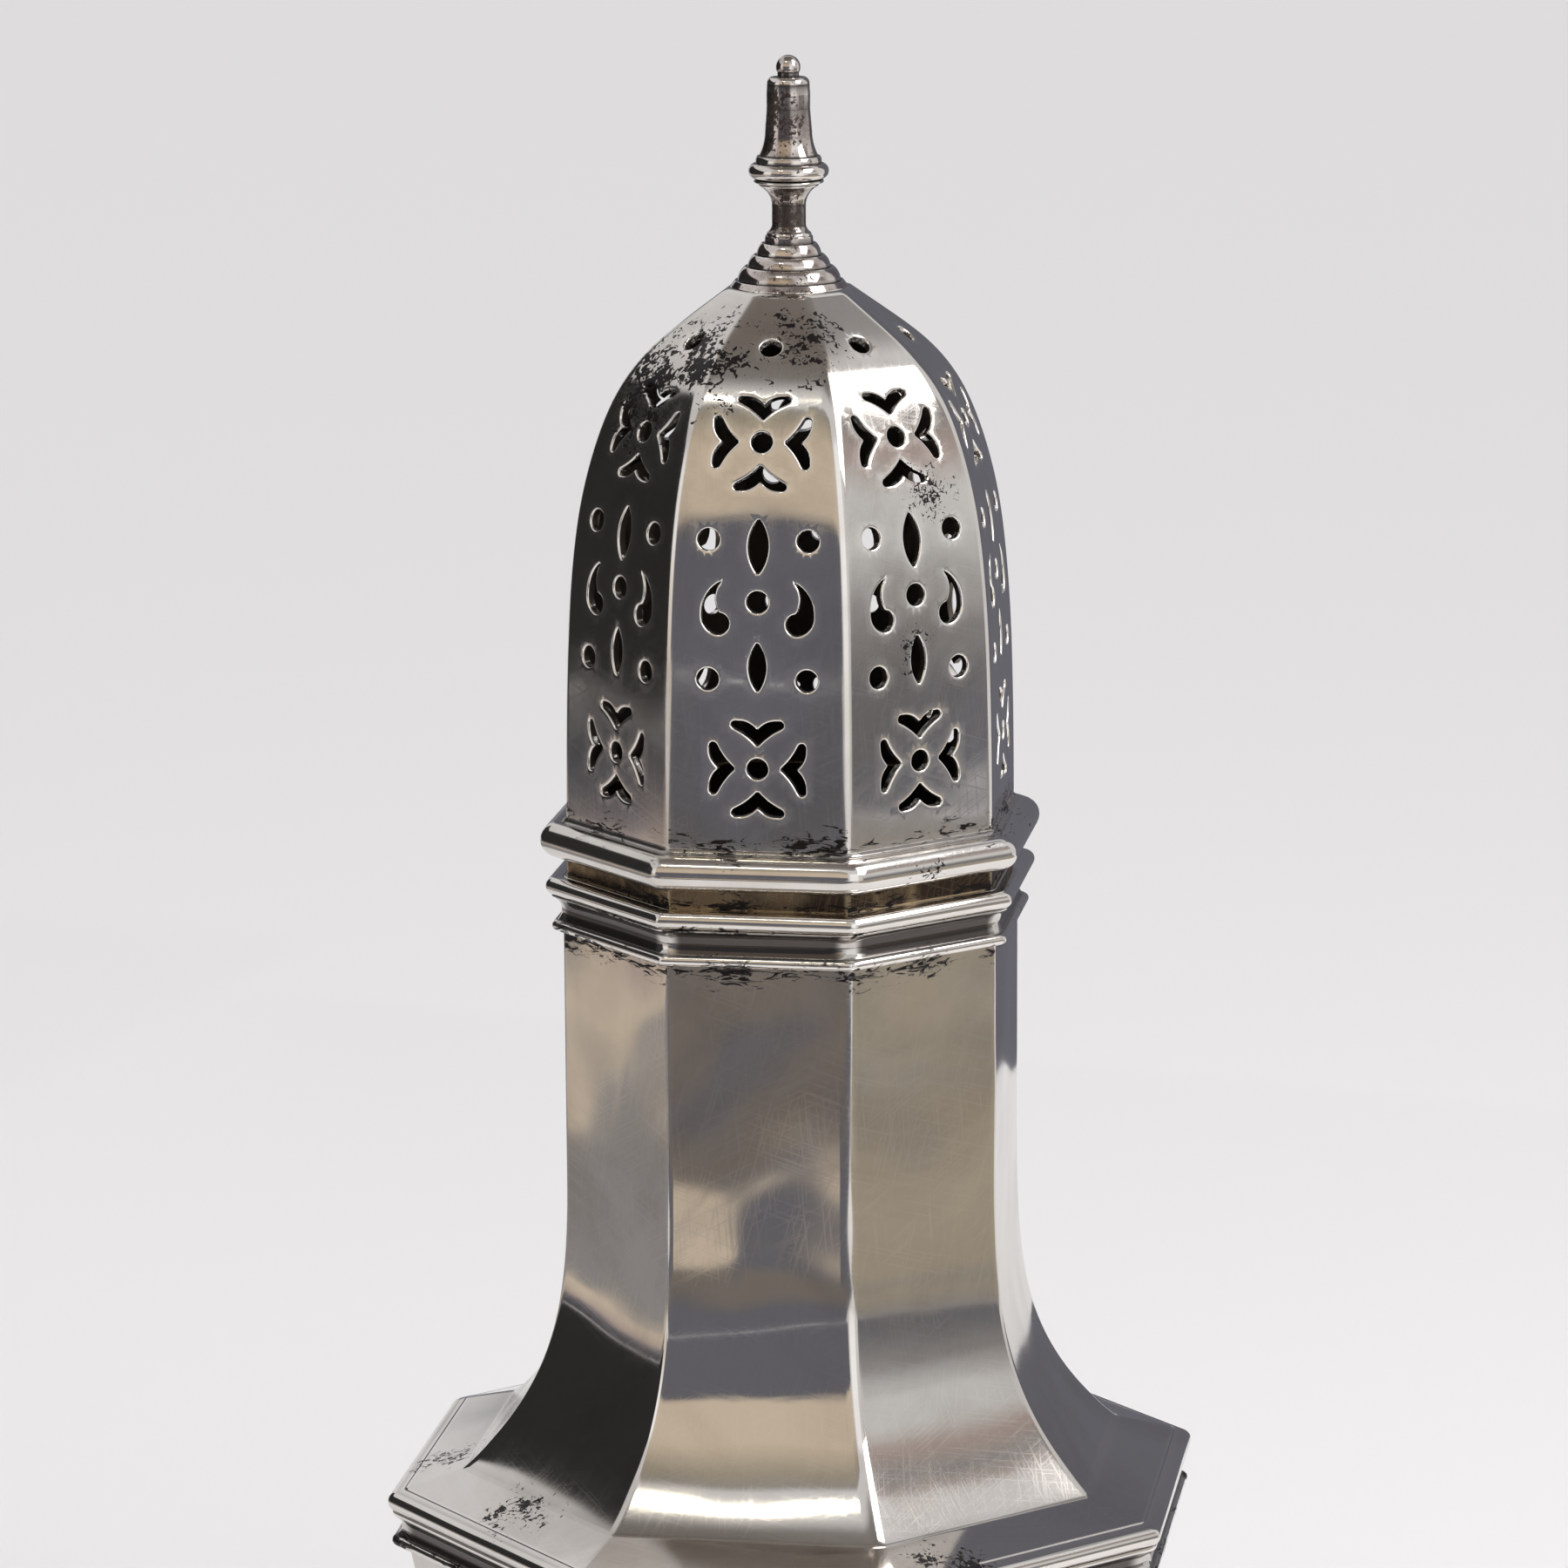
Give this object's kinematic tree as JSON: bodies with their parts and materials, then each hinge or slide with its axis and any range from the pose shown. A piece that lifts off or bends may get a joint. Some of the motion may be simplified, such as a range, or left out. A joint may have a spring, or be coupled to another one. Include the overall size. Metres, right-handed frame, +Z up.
{
  "type": "sugar caster",
  "caption": "Octagonal silver sugar caster with a baluster body on a spreading foot and a pierced dome cover that lifts off",
  "frame": {"origin": "centre of the resting face under the foot", "axes": "+Z up along the caster, with octagon flats facing +X, -X, +Y and -Y"},
  "size_m": [0.0764, 0.0764, 0.1901],
  "materials": {
    "body_silver": "polished sterling silver with fine wear scratches",
    "foot_silver": "polished sterling silver with fine wear scratches",
    "cover_silver": "polished sterling silver, tarnish specks near the crown",
    "finial_silver": "cast and turned sterling silver, dark in the grooves",
    "sleeve_gilt": "satin silver with a brown-gold tarnish"
  },
  "bodies": {
    "body": {"foot_rim_moulding": "foot_silver", "foot_shell": "foot_silver", "stem_collar": "foot_silver", "lower_bowl": "body_silver", "girth_moulding": "body_silver", "neck_shell": "body_silver", "mouth_moulding": "body_silver"},
    "cover": {"cover_sleeve": "sleeve_gilt", "cover_band": "sleeve_gilt", "cover_rim_moulding": "cover_silver", "cover_dome": "cover_silver", "finial_boss": "finial_silver", "finial_knop": "finial_silver"}
  },
  "joints": [
    {"name": "cover_lift", "type": "slide", "parent": "body", "child": "cover", "axis": [0, 0, 1], "range_m": [0, 0.03]}
  ]
}
